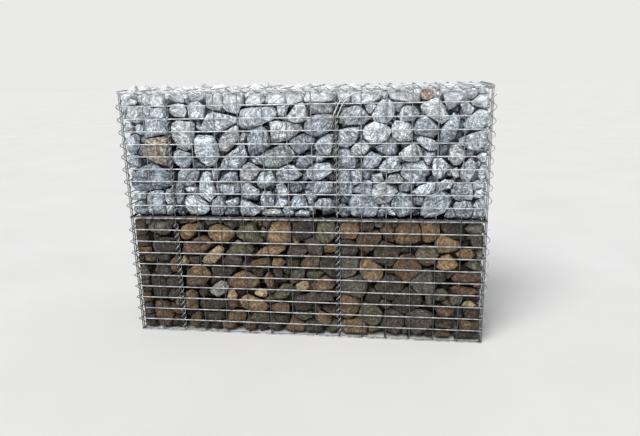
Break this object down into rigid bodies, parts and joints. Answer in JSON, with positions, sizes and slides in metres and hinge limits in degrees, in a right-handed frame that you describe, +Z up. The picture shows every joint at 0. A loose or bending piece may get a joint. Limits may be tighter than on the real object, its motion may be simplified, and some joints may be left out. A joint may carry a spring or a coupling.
{
  "type": "gabion wall",
  "caption": "Free-standing gabion wall of two stacked welded-mesh baskets, grey crushed rock over brown rubble, laced with spiral binders.",
  "frame": {"origin": "middle of the wall's footprint, on the ground", "axes": "+X along the wall's length to the right, +Z up, the front face with the two seams toward -Y"},
  "size_m": [1.454, 0.3946, 1.0141],
  "materials": {
    "galvanised_mesh": "dull zinc, weathered",
    "galvanised_binder": "dull zinc",
    "grey_rock": "crushed grey rock, matte",
    "brown_rubble": "brown sandstone rubble, matte"
  },
  "bodies": {
    "root": {"base_mesh": "galvanised_mesh", "tier_mesh": "galvanised_mesh", "lid_mesh": "galvanised_mesh", "lower_front_mesh": "galvanised_mesh", "lower_back_mesh": "galvanised_mesh", "lower_left_end_mesh": "galvanised_mesh", "lower_right_end_mesh": "galvanised_mesh", "upper_front_mesh": "galvanised_mesh", "upper_back_mesh": "galvanised_mesh", "upper_left_end_mesh": "galvanised_mesh", "upper_right_end_mesh": "galvanised_mesh", "tier_front_binder": "galvanised_binder", "lid_front_binder": "galvanised_binder", "lower_front_left_binder": "galvanised_binder", "lower_front_right_binder": "galvanised_binder", "lower_back_right_binder": "galvanised_binder", "lower_back_left_binder": "galvanised_binder", "lower_seam_binder_1": "galvanised_binder", "lower_seam_binder_2": "galvanised_binder", "upper_front_left_binder": "galvanised_binder", "upper_front_right_binder": "galvanised_binder", "upper_back_right_binder": "galvanised_binder", "upper_back_left_binder": "galvanised_binder", "upper_seam_binder_1": "galvanised_binder", "upper_seam_binder_2": "galvanised_binder", "lower_stone_fill_1": "brown_rubble", "lower_stone_fill_2": "brown_rubble", "lower_stone_fill_3": "brown_rubble", "upper_stone_fill_1": "grey_rock", "upper_stone_fill_2": "grey_rock", "upper_stone_fill_3": "grey_rock"}
  },
  "joints": []
}
